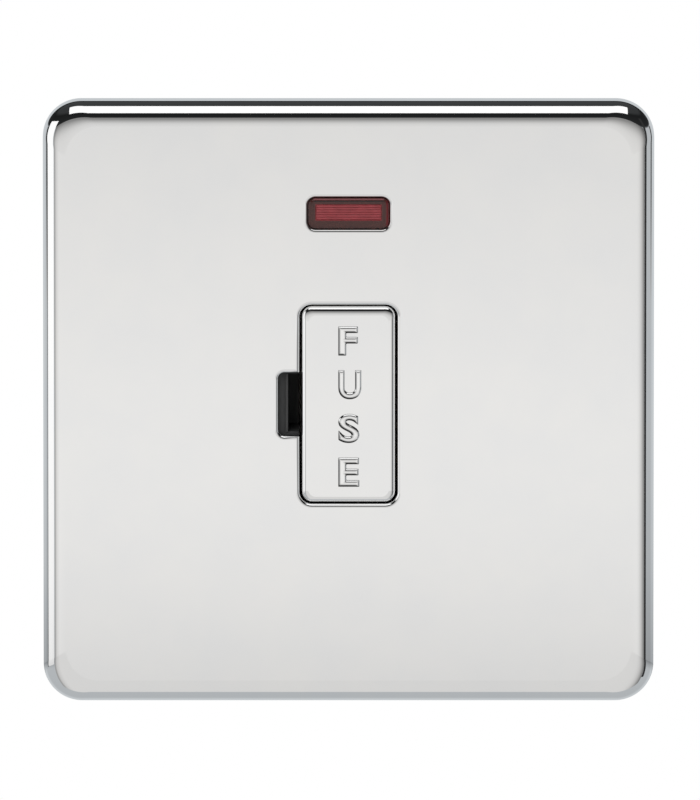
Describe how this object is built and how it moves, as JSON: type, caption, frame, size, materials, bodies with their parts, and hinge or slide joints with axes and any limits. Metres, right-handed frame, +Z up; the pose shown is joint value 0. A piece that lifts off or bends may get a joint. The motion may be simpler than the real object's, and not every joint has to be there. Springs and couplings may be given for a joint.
{
  "type": "fused connection unit",
  "caption": "Square screwless wiring accessory with a rounded metal front, a red neon window and a pull-out fuse carrier over a rear terminal block.",
  "frame": {"origin": "middle of the two fixing slots, on the wall plane at the back of the plate's rim", "axes": "+X to the right seen from the front, +Z up, the front faces -Y and the rear housing points to +Y"},
  "size_m": [0.095, 0.0261, 0.095],
  "materials": {
    "plated_front": "polished chrome plate on a pressed and a moulded part",
    "black_moulding": "fine matte black moulding",
    "carrier_moulding": "fine matte black moulding",
    "rear_moulding": "semi-gloss warm white urea moulding",
    "zinc_screw": "bright zinc-plated steel",
    "red_lens": "translucent red moulding with a ribbed window",
    "lamp_glass": "clear lamp glass",
    "resistor_coat": "tan lacquer with coloured bands",
    "tinned_wire": "tinned copper wire",
    "spring_strip": "phosphor bronze strip",
    "rivet_metal": "brass rivet",
    "terminal_brass": "machined brass",
    "fuse_ceramic": "white glazed ceramic tube",
    "fuse_cap_metal": "nickel-plated cap",
    "terminal_screw_metal": "plated steel"
  },
  "bodies": {
    "base": {"sub_plate": "black_moulding", "terminal_housing": "rear_moulding", "housing_screws": "zinc_screw", "neon_lens": "red_lens", "neon_lamp": "lamp_glass", "neon_resistor": "resistor_coat", "neon_leads": "tinned_wire", "upper_jaw": "spring_strip", "lower_jaw": "spring_strip", "jaw_rivets": "rivet_metal", "load_live_terminal": "terminal_brass", "supply_live_terminal": "terminal_brass", "neutral_bar": "terminal_brass", "earth_bar": "terminal_brass", "earth_spring": "spring_strip", "earth_rivet": "rivet_metal"},
    "carrier": {"fuse_carrier": "carrier_moulding", "fuse_carrier_cap": "plated_front", "fuse_tube": "fuse_ceramic", "fuse_cap_upper": "fuse_cap_metal", "fuse_cap_lower": "fuse_cap_metal"},
    "front": {"front_plate": "plated_front"},
    "screw_load_neutral": {"screw_load_neutral": "terminal_screw_metal"},
    "screw_load_live": {"screw_load_live": "terminal_screw_metal"},
    "screw_load_earth": {"screw_load_earth": "terminal_screw_metal"},
    "screw_supply_neutral": {"screw_supply_neutral": "terminal_screw_metal"},
    "screw_supply_live": {"screw_supply_live": "terminal_screw_metal"},
    "screw_supply_earth": {"screw_supply_earth": "terminal_screw_metal"}
  },
  "joints": [
    {"name": "carrier_slide", "type": "slide", "parent": "base", "child": "carrier", "axis": [0, -1, 0], "range_m": [0, 0.013]},
    {"name": "front_plate_release", "type": "slide", "parent": "base", "child": "front", "axis": [0, -1, 0], "range_m": [0, 0.025]},
    {"name": "screw_load_neutral_travel", "type": "slide", "parent": "base", "child": "screw_load_neutral", "axis": [0, -1, 0], "range_m": [0, 0.0028]},
    {"name": "screw_load_live_travel", "type": "slide", "parent": "base", "child": "screw_load_live", "axis": [0, -1, 0], "range_m": [0, 0.0028]},
    {"name": "screw_load_earth_travel", "type": "slide", "parent": "base", "child": "screw_load_earth", "axis": [0, -1, 0], "range_m": [0, 0.0028]},
    {"name": "screw_supply_neutral_travel", "type": "slide", "parent": "base", "child": "screw_supply_neutral", "axis": [0, -1, 0], "range_m": [0, 0.0028]},
    {"name": "screw_supply_live_travel", "type": "slide", "parent": "base", "child": "screw_supply_live", "axis": [0, -1, 0], "range_m": [0, 0.0028]},
    {"name": "screw_supply_earth_travel", "type": "slide", "parent": "base", "child": "screw_supply_earth", "axis": [0, -1, 0], "range_m": [0, 0.0028]}
  ]
}
